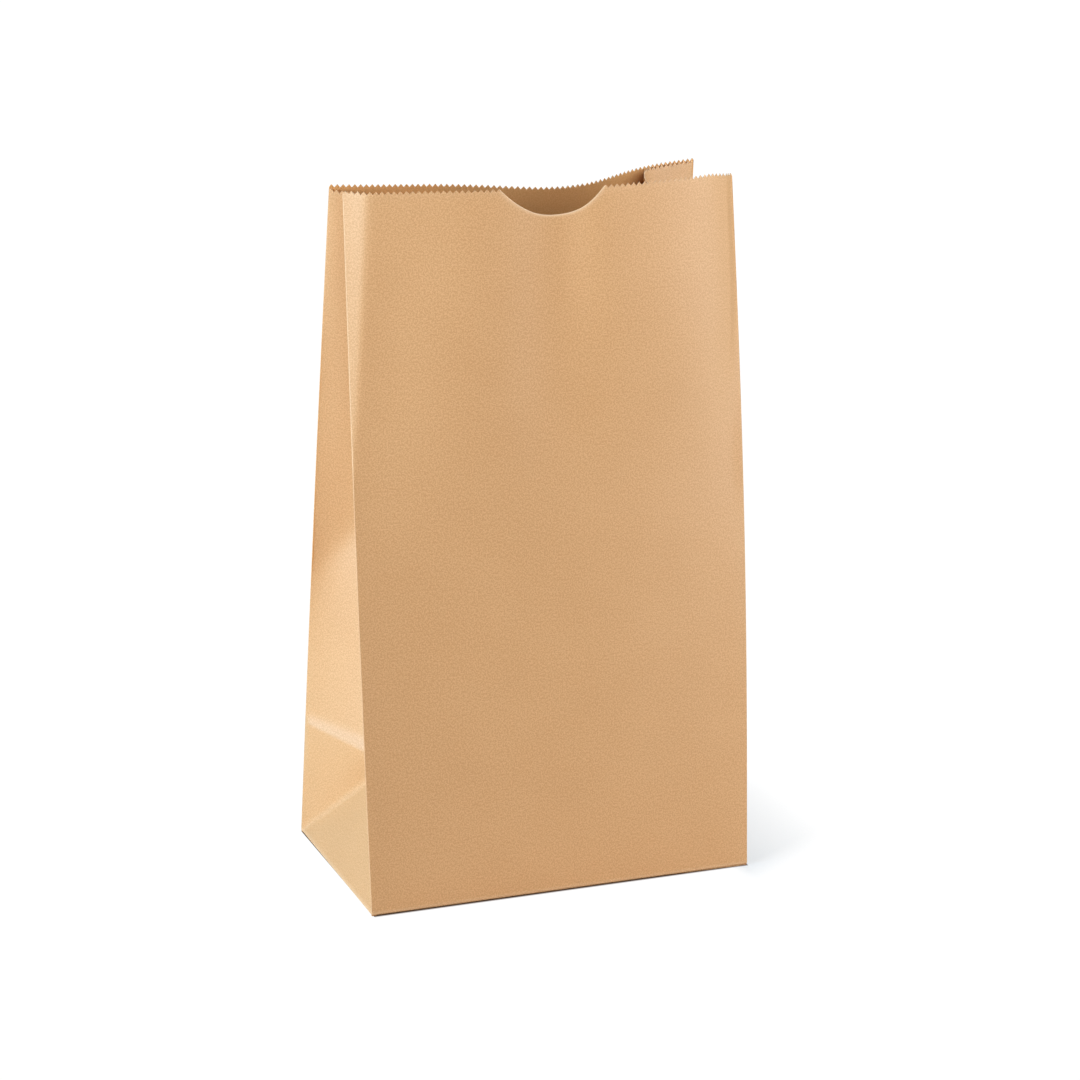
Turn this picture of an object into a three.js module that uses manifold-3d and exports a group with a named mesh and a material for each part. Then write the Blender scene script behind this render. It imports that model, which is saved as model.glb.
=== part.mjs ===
// A brown paper lunch bag standing open: one sheet of kraft paper folded into a flat-bottomed sack
// with two gusseted sides, a pinked top edge, a thumb notch in the front and a glued seam behind.
// Millimetres, +Z up. The origin is the centre of the base and the front faces -Y.

import * as THREE from "three";
import { mergeVertices } from "three/addons/utils/BufferGeometryUtils.js";
import Module from "manifold-3d";

// The sheet
const WIDTH = 152; // front and back panels
const DEPTH = 94.3; // each side gusset, opened flat
const LENGTH = 265.8; // paper from the base fold to the tips of the teeth
const PAPER = 0.25; // one layer
const SEAM_LAP = 13; // overlap of the sheet's two ends, down the back panel
const SEAM_RAMP = 2; // where the outer layer climbs over the inner one
const FLAP_LAP = 16; // overlap of the front and back flaps under the base

// The cut top edge
const TEETH_PANEL = 71; // teeth along the front, and along the back
const TEETH_HALF_GUSSET = 22; // teeth along each half of a gusset
const TOOTH_DEPTH = 1.2;
const NOTCH_FIRST_TOOTH = 25; // the notch starts after this tooth of the front
const NOTCH_TEETH = 19; // and takes the place of this many
const NOTCH_DEPTH = 10;
const GUSSET_SET_DOWN = 1.2; // the gussets end this much lower than the panels

// The open mouth: where the four corner folds end, seen from above
const MOUTH_FRONT_LEFT = [-75, -18];
const MOUTH_FRONT_RIGHT = [73.5, -24.5];
const MOUTH_BACK_RIGHT = [77.2, 21.6];
const MOUTH_BACK_LEFT = [-71.8, 11.1];
const FRONT_BULGE = 16; // the front panel swells forward between its corners
const FRONT_BULGE_AT = 0.56; // share of the panel's width
const BACK_SAG = 10.3; // the back panel sinks forward between its corners
const BACK_SAG_AT = 0.476;
const BACK_DENT = 12.2; // and has a narrower dent opposite the notch
const BACK_DENT_AT = 0.589;
const CREASE_DROP = 5.3; // the gussets' centre folds sit lower than the corners: at their crease
const MOUTH_DROP_LEFT = 5; // and at the mouth
const MOUTH_DROP_RIGHT = 1.5;
const BOW_LEFT = 0.5; // the corner folds bow outwards at mid height
const BOW_RIGHT = 2;

// Mesh fineness
const PANEL_STEPS = 20;
const GUSSET_STEPS = 8; // per half gusset, and per half depth of height, so folds at 45 degrees fit
const UPPER_ROWS = 8; // between the gusset crease and the band of teeth
const TOP_BAND = 14; // height of the band that carries the teeth and the notch

const HALF = DEPTH / 2;
const GIRTH = 2 * WIDTH + 2 * DEPTH;
const TEETH = 2 * TEETH_PANEL + 4 * TEETH_HALF_GUSSET;

const lerp = (a, b, t) => a + (b - a) * t;
const lerp2 = (a, b, t) => [lerp(a[0], b[0], t), lerp(a[1], b[1], t)];

// A smooth hump that is 0 at both ends of a panel and 1 at the share c of its width.
function hump(p, c) {
  const k = Math.log(0.5) / Math.log(c);
  return Math.sin(Math.PI * Math.max(p, 0) ** k);
}

// A point of the front (side -1) or back (side +1) panel at the share p of its width, from -X to +X,
// and at height v along the paper. Each vertical line of the panel is straight and keeps its length.
function panelPoint(side, p, v) {
  const front = side < 0;
  const left = front ? MOUTH_FRONT_LEFT : MOUTH_BACK_LEFT;
  const right = front ? MOUTH_FRONT_RIGHT : MOUTH_BACK_RIGHT;
  const low = [lerp(-WIDTH / 2, WIDTH / 2, p), side * HALF];
  const high = lerp2(left, right, p);
  if (front) {
    high[1] -= FRONT_BULGE * hump(p, FRONT_BULGE_AT);
  } else {
    high[1] -= BACK_SAG * hump(p, BACK_SAG_AT) + BACK_DENT * hump(p, BACK_DENT_AT) ** 4;
  }
  const lean = Math.hypot(high[0] - low[0], high[1] - low[1]);
  const rise = Math.sqrt(LENGTH ** 2 - lean ** 2);
  const t = v / LENGTH;
  const bow = lerp(-BOW_LEFT, BOW_RIGHT, p) * Math.sin(Math.PI * t);
  return new THREE.Vector3(lerp(low[0], high[0], t) + bow, lerp(low[1], high[1], t), rise * t);
}

// The centre fold of a gusset at height v, from the crease at half the depth upwards. Each half keeps
// its width of half the depth, so the closer the two corner folds stand, the further the centre fold
// goes in. The triangle under it keeps its height too, so the whole fold sits lower than the corners.
function centreFold(hand, v) {
  const p = hand < 0 ? 0 : 1;
  const front = panelPoint(-1, p, v);
  const back = panelPoint(1, p, v);
  const gap = front.distanceTo(back);
  const mouthDrop = hand < 0 ? MOUTH_DROP_LEFT : MOUTH_DROP_RIGHT;
  const drop = lerp(CREASE_DROP, mouthDrop, (v - HALF) / (LENGTH - HALF));
  const inward = Math.sqrt(Math.max(HALF ** 2 - (gap / 2) ** 2 - drop ** 2, 0));
  const mid = front.lerp(back, 0.5);
  mid.x -= hand * inward;
  mid.z -= drop;
  return mid;
}

const mix = (a, wa, b, wb, c, wc) =>
  new THREE.Vector3().addScaledVector(a, wa).addScaledVector(b, wb).addScaledVector(c, wc);

// A point of the left (hand -1) or right (hand +1) gusset, s across the paper from its front corner
// fold and v up. Below the crease at half the depth, three flat triangles meet in a point.
function gussetPoint(hand, s, v) {
  const p = hand < 0 ? 0 : 1;
  if (v < HALF) {
    const apex = centreFold(hand, HALF);
    const lowFront = panelPoint(-1, p, 0);
    const lowBack = panelPoint(1, p, 0);
    if (s <= v) {
      return mix(apex, s / HALF, panelPoint(-1, p, HALF), (v - s) / HALF, lowFront, 1 - v / HALF);
    }
    if (DEPTH - s <= v) {
      const r = DEPTH - s;
      return mix(apex, r / HALF, panelPoint(1, p, HALF), (v - r) / HALF, lowBack, 1 - v / HALF);
    }
    const back = (s - v) / DEPTH;
    return mix(apex, v / HALF, lowBack, back, lowFront, 1 - v / HALF - back);
  }
  const fold = centreFold(hand, v);
  if (s <= HALF) {
    return panelPoint(-1, p, v).lerp(fold, s / HALF);
  }
  return fold.lerp(panelPoint(1, p, v), (s - HALF) / HALF);
}

// A point of the folded sheet. u runs round the bag, anticlockwise from above, from the front-left
// corner fold: front panel, right gusset, back panel, left gusset.
function sheetPoint(around, v) {
  const u = ((around % GIRTH) + GIRTH) % GIRTH;
  if (u <= WIDTH) {
    return panelPoint(-1, u / WIDTH, v);
  }
  if (u <= WIDTH + DEPTH) {
    return gussetPoint(1, u - WIDTH, v);
  }
  if (u <= 2 * WIDTH + DEPTH) {
    return panelPoint(1, 1 - (u - WIDTH - DEPTH) / WIDTH, v);
  }
  return gussetPoint(-1, GIRTH - u, v);
}

// The step from the outer skin to the inner one: a mitre of the two neighbouring wall directions,
// so that the wall keeps its thickness round every fold.
function mitre(u, v) {
  const reach = 0.4;
  const here = sheetPoint(u, v);
  const before = here.clone().sub(sheetPoint(u - reach, v));
  const after = sheetPoint(u + reach, v).sub(here);
  const n1 = new THREE.Vector2(-before.y, before.x).normalize();
  const n2 = new THREE.Vector2(-after.y, after.x).normalize();
  const share = Math.max(1 + n1.dot(n2), 0.05);
  return new THREE.Vector3((n1.x + n2.x) / share, (n1.y + n2.y) / share, 0);
}

const skinPoint = (u, v, layers) => sheetPoint(u, v).addScaledVector(mitre(u, v), PAPER * layers);

// Where the columns of the mesh stand: even steps in every panel and half gusset.
function columnsOf(panelSteps, gussetSteps) {
  const columns = [];
  const spans = [WIDTH, HALF, HALF, WIDTH, HALF, HALF];
  let start = 0;
  for (const span of spans) {
    const steps = span === WIDTH ? panelSteps : gussetSteps;
    for (let i = 0; i < steps; i += 1) {
      columns.push(start + (span * i) / steps);
    }
    start += span;
  }
  return columns;
}

// Height of the cut edge at the half tooth i, counted from the front-left corner fold: valleys on
// the even ones, tips on the odd ones, and the rounded notch in the front panel.
function cutHeight(i) {
  const from = 2 * NOTCH_FIRST_TOOTH;
  const to = from + 2 * NOTCH_TEETH;
  if (i > from && i < to) {
    const x = (i - (from + to) / 2) / NOTCH_TEETH;
    return LENGTH - TOOTH_DEPTH - (NOTCH_DEPTH - TOOTH_DEPTH) * (1 - x * x);
  }
  const backFrom = 2 * TEETH_PANEL + 4 * TEETH_HALF_GUSSET;
  const backTo = backFrom + 2 * TEETH_PANEL;
  const onGusset = (i > 2 * TEETH_PANEL && i < backFrom) || i > backTo;
  const tip = onGusset ? LENGTH - GUSSET_SET_DOWN : LENGTH;
  return i % 2 ? tip : tip - TOOTH_DEPTH;
}

// The lap seam: the outer layer climbs over the inner one and ends in a cut edge, on a tooth valley.
const SEAM_TOOTH = TEETH_PANEL + 2 * TEETH_HALF_GUSSET + 33;
const teethColumns = columnsOf(2 * TEETH_PANEL, 2 * TEETH_HALF_GUSSET);
const SEAM_EDGE = teethColumns[2 * SEAM_TOOTH];
const SEAM_START = SEAM_EDGE - SEAM_LAP;

function seamLayers(u) {
  if (u < SEAM_START || u > SEAM_EDGE) {
    return 0;
  }
  return -Math.min((u - SEAM_START) / SEAM_RAMP, 1);
}

// Puts the seam's own columns into a list of columns: the foot and the top of the ramp, and the cut
// edge twice, once on each layer.
function withSeam(columns) {
  const own = [SEAM_START, SEAM_START + SEAM_RAMP, SEAM_EDGE];
  const clear = columns.filter((u) => own.every((x) => Math.abs(u - x) > 0.6));
  const list = clear.concat(own).map((u) => ({ u, layers: seamLayers(u) }));
  list.push({ u: SEAM_EDGE + 1e-9, layers: 0 });
  return list.sort((a, b) => a.u - b.u);
}

const positions = [];
const triangles = [];

function addPoint(point) {
  positions.push(point.x, point.y, point.z);
  return positions.length / 3 - 1;
}

// Joins two closed rows of points that run the same way round, whatever their numbers of points.
function bridge(low, high, inside) {
  let i = 0;
  let j = 0;
  while (i < low.length || j < high.length) {
    const a = low[i % low.length];
    const d = high[j % high.length];
    const nextLow = i < low.length ? (low[i + 1]?.u ?? GIRTH) : Infinity;
    const nextHigh = j < high.length ? (high[j + 1]?.u ?? GIRTH) : Infinity;
    let third;
    if (nextLow <= nextHigh) {
      i += 1;
      third = low[i % low.length];
    } else {
      j += 1;
      third = high[j % high.length];
    }
    if (inside) {
      triangles.push(a.id, d.id, third.id);
    } else {
      triangles.push(a.id, third.id, d.id);
    }
  }
}

// Joins two rows with the same columns. Each square of the mesh is split so that the slanting folds
// of the gussets run along an edge.
function bridgeEven(low, high, inside) {
  for (let i = 0; i < low.length; i += 1) {
    const k = (i + 1) % low.length;
    const u = low[i].u;
    const across = u < 2 * WIDTH + DEPTH ? u - WIDTH : u - 2 * WIDTH - DEPTH;
    const falling = across >= HALF - 1e-6 && across < DEPTH;
    const [a, b, c, d] = [low[i].id, low[k].id, high[k].id, high[i].id];
    const faces = falling ? [a, b, d, b, c, d] : [a, b, c, a, c, d];
    for (let f = 0; f < 6; f += 3) {
      const face = faces.slice(f, f + 3);
      triangles.push(...(inside ? face.reverse() : face));
    }
  }
}

const outerColumns = withSeam(columnsOf(PANEL_STEPS, GUSSET_STEPS));
const innerColumns = columnsOf(PANEL_STEPS, GUSSET_STEPS).map((u) => ({ u, layers: 1 }));
const outerTeeth = withSeam(teethColumns);
const innerTeeth = teethColumns.map((u) => ({ u, layers: 1 }));

const heights = [];
for (let j = 0; j <= GUSSET_STEPS; j += 1) {
  heights.push((HALF * j) / GUSSET_STEPS);
}
for (let j = 1; j <= UPPER_ROWS; j += 1) {
  heights.push(lerp(HALF, LENGTH - TOP_BAND, j / UPPER_ROWS));
}

const row = (columns, v) =>
  columns.map(({ u, layers }) => ({ u, id: addPoint(skinPoint(u, v, layers)) }));

function edgeRow(columns) {
  return columns.map(({ u, layers }) => {
    const after = teethColumns.findIndex((x) => x > u + 1e-6);
    const last = after < 0 ? teethColumns.length - 1 : after - 1;
    const from = teethColumns[last];
    const to = teethColumns[last + 1] ?? GIRTH;
    const share = Math.min(Math.max((u - from) / (to - from), 0), 1);
    const v = lerp(cutHeight(last), cutHeight((last + 1) % (2 * TEETH)), share);
    return { u, id: addPoint(skinPoint(u, v, layers)) };
  });
}

const outerRows = heights.map((v) => row(outerColumns, v));
const innerRows = heights.map((v) => row(innerColumns, v));
const outerEdge = edgeRow(outerTeeth);
const innerEdge = edgeRow(innerTeeth);
for (let j = 1; j < heights.length; j += 1) {
  bridgeEven(outerRows[j - 1], outerRows[j], false);
  bridgeEven(innerRows[j - 1], innerRows[j], true);
}
bridge(outerRows.at(-1), outerEdge, false);
bridge(innerRows.at(-1), innerEdge, true);
bridge(outerEdge, innerEdge, false);
bridge(innerRows[0], outerRows[0], false);

// Solids for joining
const wasm = await Module();
wasm.setup();

function solidOf(points, faces) {
  const mesh = new wasm.Mesh({
    numProp: 3,
    vertProperties: Float32Array.from(points),
    triVerts: Uint32Array.from(faces),
  });
  return new wasm.Manifold(mesh);
}

// A layer of the base: an outline in the base plane, with z from low to high.
function layer(outline, low, high) {
  const shape = new THREE.Shape(outline.map(([x, y]) => new THREE.Vector2(x, y)));
  const raw = new THREE.ExtrudeGeometry(shape, { depth: high - low, bevelEnabled: false });
  raw.translate(0, 0, low);
  raw.deleteAttribute("normal");
  raw.deleteAttribute("uv");
  const merged = mergeVertices(raw);
  return solidOf(merged.getAttribute("position").array, merged.getIndex().array);
}

// A long flap: a trapezium from the front (side -1) or back (side +1) fold towards the middle, with
// its ends folded at 45 degrees.
function longFlap(side, reach) {
  const inset = PAPER / 2;
  const base = side * (HALF - inset);
  const tip = side * (HALF - reach);
  const half = WIDTH / 2 - 3 * inset;
  const far = half - (reach - inset);
  const outline = [
    [-half, base],
    [half, base],
    [far, tip],
    [-far, tip],
  ];
  return side < 0 ? outline : outline.reverse();
}

// A side flap: a rectangle from under a gusset towards the middle, stopping inside the gusset's wall.
function sideFlap(hand, reach) {
  const lean = (WIDTH / 2 - Math.abs(centreFold(hand, HALF).x)) / HALF;
  const out = hand * (WIDTH / 2 - lean * 2.5 * PAPER - PAPER / 2);
  const tip = hand * (WIDTH / 2 - reach);
  const half = HALF - PAPER / 2;
  const outline = [
    [out, -half],
    [out, half],
    [tip, half],
    [tip, -half],
  ];
  return hand > 0 ? outline : outline.reverse();
}

const flapReach = HALF + FLAP_LAP / 2;
const pieces = [
  layer(longFlap(1, flapReach), 0, 1.2 * PAPER),
  layer(longFlap(1, HALF - FLAP_LAP / 2 - 1), 0.5 * PAPER, 2.2 * PAPER),
  layer(longFlap(-1, flapReach), PAPER, 2.3 * PAPER),
  layer(sideFlap(-1, flapReach), 2 * PAPER, 3 * PAPER),
  layer(sideFlap(1, flapReach), 2 * PAPER, 3 * PAPER),
];

let bag = solidOf(positions, triangles);
for (const piece of pieces) {
  bag = bag.add(piece);
}

const result = bag.getMesh();
const geometry = new THREE.BufferGeometry();
geometry.setAttribute("position", new THREE.BufferAttribute(new Float32Array(result.vertProperties), 3));
geometry.setIndex(new THREE.BufferAttribute(new Uint32Array(result.triVerts), 1));
geometry.computeVertexNormals();

const kraft = new THREE.MeshStandardMaterial({ color: 0xc69c6d, roughness: 0.85, metalness: 0 });
const paperBag = new THREE.Mesh(geometry, kraft);
paperBag.name = "paper_bag";

const lunchBag = new THREE.Group();
lunchBag.add(paperBag);

export default lunchBag;
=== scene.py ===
"""A brown paper lunch bag: one sheet of kraft paper, cut flat, folded and glued, standing open.

The sheet is laid out flat as a grid, trimmed to the zigzag top edge and the thumb notch, folded
into panels and gussets, closed with the flaps of the base, and given the thickness of paper.
"""

import math

import bpy
import numpy as np
from mathutils import Matrix, Vector


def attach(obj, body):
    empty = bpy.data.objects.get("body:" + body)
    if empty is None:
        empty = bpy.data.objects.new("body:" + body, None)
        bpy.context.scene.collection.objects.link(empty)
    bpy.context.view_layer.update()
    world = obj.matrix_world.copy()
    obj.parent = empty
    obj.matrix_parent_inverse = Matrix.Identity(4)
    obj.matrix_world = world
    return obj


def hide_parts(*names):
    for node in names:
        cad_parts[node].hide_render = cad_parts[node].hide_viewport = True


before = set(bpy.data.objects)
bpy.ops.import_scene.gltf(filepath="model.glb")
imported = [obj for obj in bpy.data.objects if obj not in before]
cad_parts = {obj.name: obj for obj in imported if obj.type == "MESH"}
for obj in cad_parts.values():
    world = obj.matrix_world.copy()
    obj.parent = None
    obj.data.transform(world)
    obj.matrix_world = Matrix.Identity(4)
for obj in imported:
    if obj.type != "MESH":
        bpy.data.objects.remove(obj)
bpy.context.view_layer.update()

bl_info = {
    "name": "Paper lunch bag",
    "version": (1, 0, 0),
    "blender": (4, 5, 0),
    "location": "View3D > Sidebar > Paper bag",
    "description": "Cuts, folds and lights a brown paper lunch bag",
    "category": "Object",
}

MM = 0.001
BAG = "kraft_bag"


# Settings


class BagSizes(bpy.types.PropertyGroup):
    """Sizes of the flat sheet and of the standing bag."""

    width: bpy.props.FloatProperty(
        name="Panel width",
        description="Width of the front and back panels",
        default=0.152,
        unit="LENGTH",
    )
    depth: bpy.props.FloatProperty(
        name="Gusset width",
        description="Width of each side gusset, opened flat",
        default=0.0943,
        unit="LENGTH",
    )
    length: bpy.props.FloatProperty(
        name="Panel length",
        description="Paper from the base fold to the tips of the teeth",
        default=0.2658,
        unit="LENGTH",
    )
    paper: bpy.props.FloatProperty(
        name="Paper",
        description="Thickness of one layer of paper",
        default=0.00022,
        unit="LENGTH",
        precision=5,
    )
    seam_lap: bpy.props.FloatProperty(
        name="Seam lap",
        description="Overlap of the sheet's two ends, down the back panel",
        default=0.013,
        unit="LENGTH",
    )
    flap_lap: bpy.props.FloatProperty(
        name="Flap lap",
        description="Overlap of the long flaps under the base",
        default=0.016,
        unit="LENGTH",
    )
    tooth_depth: bpy.props.FloatProperty(
        name="Tooth depth",
        description="Height of the zigzag cut along the top edge",
        default=0.0012,
        unit="LENGTH",
        precision=4,
    )
    notch_depth: bpy.props.FloatProperty(
        name="Notch depth",
        description="Depth of the thumb notch in the front panel",
        default=0.010,
        unit="LENGTH",
    )
    front_bulge: bpy.props.FloatProperty(
        name="Front bulge",
        description="How far the front panel swells forward at the mouth",
        default=0.016,
        unit="LENGTH",
    )
    back_sag: bpy.props.FloatProperty(
        name="Back sag",
        description="How far the back panel sinks forward at the mouth",
        default=0.0103,
        unit="LENGTH",
    )
    back_dent: bpy.props.FloatProperty(
        name="Back dent",
        description="Depth of the narrower dent in the back panel, opposite the notch",
        default=0.0122,
        unit="LENGTH",
    )


class KraftLook(bpy.types.PropertyGroup):
    """Colours of the paper, and of the painted shade inside the bag."""

    paper: bpy.props.FloatVectorProperty(
        name="Kraft",
        description="Colour of the paper's face",
        subtype="COLOR",
        size=3,
        min=0.0,
        max=1.0,
        default=(0.582, 0.331, 0.155),
    )
    fibre: bpy.props.FloatVectorProperty(
        name="Fibre",
        description="Colour of the pale fibres in the paper",
        subtype="COLOR",
        size=3,
        min=0.0,
        max=1.0,
        default=(0.698, 0.434, 0.230),
    )
    speck: bpy.props.FloatVectorProperty(
        name="Speck",
        description="Colour of the dark specks of bark in the paper",
        subtype="COLOR",
        size=3,
        min=0.0,
        max=1.0,
        default=(0.22, 0.11, 0.05),
    )
    cut: bpy.props.FloatVectorProperty(
        name="Cut edge",
        description="Colour of the fresh cut edge of the paper",
        subtype="COLOR",
        size=3,
        min=0.0,
        max=1.0,
        default=(0.82, 0.62, 0.42),
    )
    # Painted shade: the inner face is drawn towards this browner colour, standing in for the shade inside
    # the bag.
    inner: bpy.props.FloatVectorProperty(
        name="Inner face",
        description="Colour of the rough inner face of the paper",
        subtype="COLOR",
        size=3,
        min=0.0,
        max=1.0,
        default=(0.68, 0.33, 0.11),
    )


class StageLook(bpy.types.PropertyGroup):
    """Camera, lights and floor."""

    lens: bpy.props.FloatProperty(
        name="Lens",
        description="Focal length of the camera in millimetres",
        default=101.1,
        unit="CAMERA",
    )
    camera_at: bpy.props.FloatVectorProperty(
        name="Camera",
        description="Where the camera stands",
        subtype="TRANSLATION",
        size=3,
        default=(-0.3919, -1.0439, 0.4307),
    )
    azimuth: bpy.props.FloatProperty(
        name="Azimuth",
        description="Turn of the camera round the bag, to the left of the front",
        default=math.radians(-20.92),
        unit="ROTATION",
    )
    elevation: bpy.props.FloatProperty(
        name="Elevation",
        description="Height of the camera above the horizon",
        default=math.radians(15.33),
        unit="ROTATION",
    )
    roll: bpy.props.FloatProperty(
        name="Roll",
        description="Tilt of the camera about its own axis",
        default=math.radians(0.29),
        unit="ROTATION",
    )
    floor: bpy.props.FloatVectorProperty(
        name="Floor",
        description="Colour of the floor for the light that bounces off it",
        subtype="COLOR",
        size=3,
        min=0.0,
        max=1.0,
        default=(0.93, 0.83, 0.70),
    )
    shade: bpy.props.FloatVectorProperty(
        name="Shaded floor",
        description="Colour of the floor as the camera sees it, set so that the shadow looks grey",
        subtype="COLOR",
        size=3,
        min=0.0,
        max=1.0,
        default=(0.735, 0.866, 1.0),
    )


# The folded sheet. u runs round the bag, anticlockwise from above, from the front-left corner
# fold: front panel, right gusset, back panel, left gusset. v runs up the paper from the base fold.

TEETH_PANEL = 71
TEETH_HALF_GUSSET = 22
NOTCH_FIRST_TOOTH = 25.5
NOTCH_TEETH = 18
SEAM_TOOTH = 148  # the tooth, counted round the bag, where the outer layer of the seam ends

# Corners of the mouth, x and y, by side (-1 front, 1 back) and end (0 left, 1 right)
MOUTH = {
    (-1, 0): (-0.0757, -0.018),
    (-1, 1): (0.0733, -0.0245),
    (1, 0): (-0.0718, 0.0111),
    (1, 1): (0.0780, 0.0216),
}
# Where the swell and the hollows stand, as shares of a panel's width
FRONT_BULGE_AT = 0.56
BACK_SAG_AT = 0.476
BACK_DENT_AT = 0.589
CREASE_DROP = 0.0053  # how far the centre fold lies below its panels at the foot of the fold
# x of the corners of the base, by side
BASE_LEFT = {-1: -0.0768, 1: -0.076}
BASE_RIGHT = {-1: 0.0757, 1: 0.076}
# By hand (-1 left, 1 right): drop of the centre fold at the mouth, and of the gusset's cut edge
MOUTH_DROP = {-1: 0.007, 1: 0.0015}
GUSSET_SET_DOWN = {-1: 0.0016, 1: 0.0008}
RECESS_FRONT = 0.0234  # how far the right gusset lies along the front panel at the mouth
RECESS_BACK = 0.0275  # and along the back panel
RECESS_GAP = 0.0010
RECESS_DROP = 0.0072  # the part that crosses sinks by this much
BASE_ROUND = 0.0010  # radius of the base fold
BOW_LEFT = 0.0005  # how far the left and right edges of the panels bow outwards
BOW_RIGHT = 0.002
# Painted shade: past this place the front edge is darkened between its teeth.
PAINTED_TEETH_SHADE_FROM = 0.105  # beyond this, the front edge is darker between its teeth

# Soft waves of the front panel: place, its drift down the panel, spread, the spread's growth,
# height in millimetres, and the heights between which the wave fades in
FRONT_WAVES = (
    (0.038, -0.22, 0.012, 0.0, 2.6, 0.105, 0.190),
    (0.064, -0.03, 0.012, 0.0, -5.0, 0.115, 0.210),
    (0.0820, 0.05, 0.0065, 0.05, 6.6, 0.150, 0.225),
    (0.112, 0.0, 0.014, 0.0, 2.2, 0.120, 0.220),
    (0.1425, 0.0, 0.009, 0.0, -4.8, 0.120, 0.220),
)

# The blank's grid and its place in the UV map
TOP_BAND = 0.016  # height of the band that carries the teeth and the notch
ROW_SPACING = 0.0054
SHEET_MARGIN = 0.01
SHEET_BASE = 0.07
# Painted shadow: a dark line along the outer end of the seam, standing in for the shade of the lap's edge.
SEAM_SHADOW_WIDTH = 0.0003  # width of the darker line along the outer end of the seam
SEAM_PAINTED_SHADOW = -0.5


def hump(p, at):
    """A smooth hump, 0 at both ends of a panel and 1 at the share at of its width."""
    k = math.log(0.5) / math.log(at)
    return np.sin(math.pi * np.clip(p, 0.0, 1.0) ** k)


def blend(low, high, x):
    """A smooth step from 0 below low to 1 above high."""
    t = np.clip((x - low) / (high - low), 0.0, 1.0)
    return t * t * (3.0 - 2.0 * t)


def lerp(a, b, t):
    return a + (b - a) * t


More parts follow.
